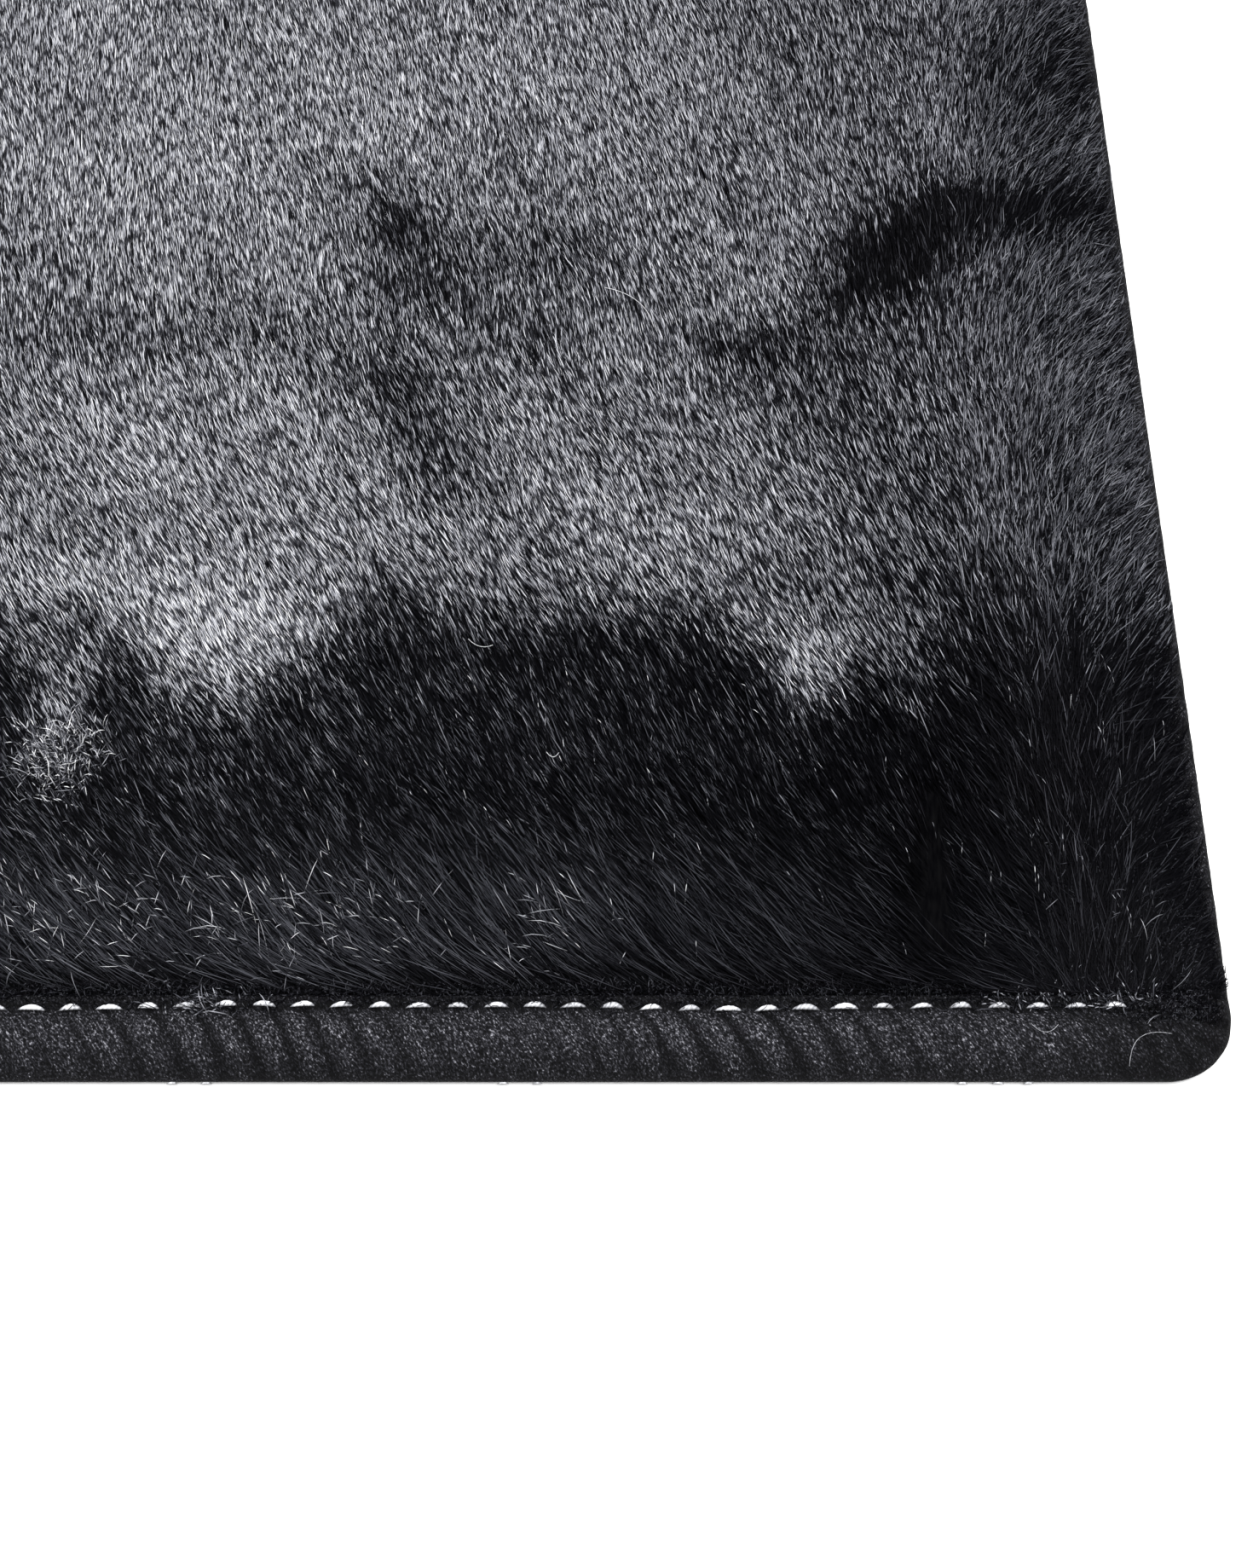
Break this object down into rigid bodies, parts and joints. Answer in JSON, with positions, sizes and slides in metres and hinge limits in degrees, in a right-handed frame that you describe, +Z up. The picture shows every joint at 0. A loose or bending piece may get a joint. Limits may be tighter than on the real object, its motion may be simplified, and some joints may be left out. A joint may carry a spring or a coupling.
{
  "type": "faux fur rug",
  "caption": "Flat rectangular rug of long brushed fur-like pile, its raw rim held in a folded, topstitched edge tape with rounded corners.",
  "frame": {"origin": "middle of the underside, on the surface that the rug lies on", "axes": "+Z up out of the pile, +Y along the long sides from the near edge to the far one, the way the pile is brushed, +X along the near edge"},
  "size_m": [0.6, 0.9, 0.0107],
  "materials": {
    "fur_pile": "long acrylic pile, black with a cool grey sheen where it lies towards the light",
    "velour_tape": "matte black velour tape with short nap",
    "stitch_thread": "white polyester sewing thread"
  },
  "bodies": {
    "root": {"fur_panel": "fur_pile", "edge_binding": "velour_tape"}
  },
  "joints": []
}
